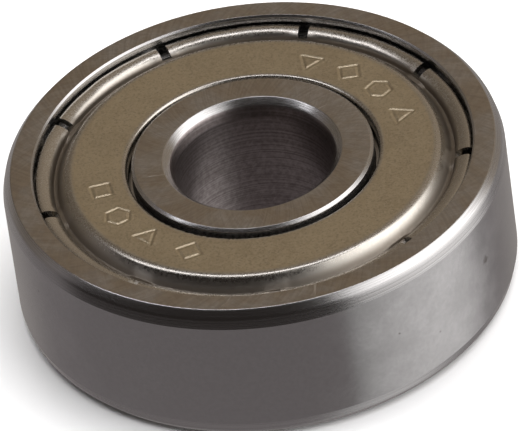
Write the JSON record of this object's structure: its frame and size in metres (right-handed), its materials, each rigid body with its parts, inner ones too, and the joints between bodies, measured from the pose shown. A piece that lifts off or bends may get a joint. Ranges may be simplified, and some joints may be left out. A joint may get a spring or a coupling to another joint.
{
  "type": "ball bearing",
  "caption": "Miniature deep groove ball bearing with pressed metal shields crimped into the outer ring, a riveted ribbon cage, and a plain bore and outside.",
  "frame": {"origin": "centre of the bearing, on the shaft axis and half way through its width", "axes": "+Z along the shaft axis, out of the face closed by shield_upper; +X and +Y across it, with ball_1 on +X"},
  "size_m": [0.016, 0.016, 0.005],
  "materials": {
    "ring_steel": "hardened and ground bearing steel, fine grinding marks, light oil film",
    "shield_steel": "pressed sheet steel, matte with a fine grain, faint bronze tint",
    "ball_steel": "lapped bearing steel, mirror finish",
    "cage_steel": "pressed low-carbon strip, satin",
    "rivet_steel": "cold-headed wire, satin"
  },
  "bodies": {
    "housing_side": {"outer_ring": "ring_steel", "shield_upper": "shield_steel", "shield_lower": "shield_steel"},
    "shaft_side": {"inner_ring": "ring_steel"},
    "cage_side": {"cage_half_upper": "cage_steel", "cage_half_lower": "cage_steel", "rivet_1": "rivet_steel", "rivet_2": "rivet_steel", "rivet_3": "rivet_steel", "rivet_4": "rivet_steel", "rivet_5": "rivet_steel", "rivet_6": "rivet_steel", "rivet_7": "rivet_steel"},
    "rolling_ball_1": {"ball_1": "ball_steel"},
    "rolling_ball_2": {"ball_2": "ball_steel"},
    "rolling_ball_3": {"ball_3": "ball_steel"},
    "rolling_ball_4": {"ball_4": "ball_steel"},
    "rolling_ball_5": {"ball_5": "ball_steel"},
    "rolling_ball_6": {"ball_6": "ball_steel"},
    "rolling_ball_7": {"ball_7": "ball_steel"}
  },
  "joints": [
    {"name": "inner_ring_spin", "type": "hinge", "parent": "housing_side", "child": "shaft_side", "pos_m": [0, 0, 0], "axis": [0, 0, 1], "continuous": true},
    {"name": "cage_spin", "type": "hinge", "parent": "housing_side", "child": "cage_side", "pos_m": [0, 0, 0], "axis": [0, 0, 1], "continuous": true},
    {"name": "ball_1_spin", "type": "hinge", "parent": "cage_side", "child": "rolling_ball_1", "pos_m": [0.00525, 0, 0], "axis": [0, 0, 1], "continuous": true},
    {"name": "ball_2_spin", "type": "hinge", "parent": "cage_side", "child": "rolling_ball_2", "pos_m": [0.00327, 0.0041, 0], "axis": [0, 0, 1], "continuous": true},
    {"name": "ball_3_spin", "type": "hinge", "parent": "cage_side", "child": "rolling_ball_3", "pos_m": [-0.00117, 0.00512, 0], "axis": [0, 0, 1], "continuous": true},
    {"name": "ball_4_spin", "type": "hinge", "parent": "cage_side", "child": "rolling_ball_4", "pos_m": [-0.00473, 0.00228, 0], "axis": [0, 0, 1], "continuous": true},
    {"name": "ball_5_spin", "type": "hinge", "parent": "cage_side", "child": "rolling_ball_5", "pos_m": [-0.00473, -0.00228, 0], "axis": [0, 0, 1], "continuous": true},
    {"name": "ball_6_spin", "type": "hinge", "parent": "cage_side", "child": "rolling_ball_6", "pos_m": [-0.00117, -0.00512, 0], "axis": [0, 0, 1], "continuous": true},
    {"name": "ball_7_spin", "type": "hinge", "parent": "cage_side", "child": "rolling_ball_7", "pos_m": [0.00327, -0.0041, 0], "axis": [0, 0, 1], "continuous": true}
  ],
  "couplings": [
    {"joint": "cage_spin", "follows": "inner_ring_spin", "ratio": 0.36771},
    {"joint": "ball_1_spin", "follows": "inner_ring_spin", "ratio": -1.7576},
    {"joint": "ball_2_spin", "follows": "inner_ring_spin", "ratio": -1.7576},
    {"joint": "ball_3_spin", "follows": "inner_ring_spin", "ratio": -1.7576},
    {"joint": "ball_4_spin", "follows": "inner_ring_spin", "ratio": -1.7576},
    {"joint": "ball_5_spin", "follows": "inner_ring_spin", "ratio": -1.7576},
    {"joint": "ball_6_spin", "follows": "inner_ring_spin", "ratio": -1.7576},
    {"joint": "ball_7_spin", "follows": "inner_ring_spin", "ratio": -1.7576}
  ]
}
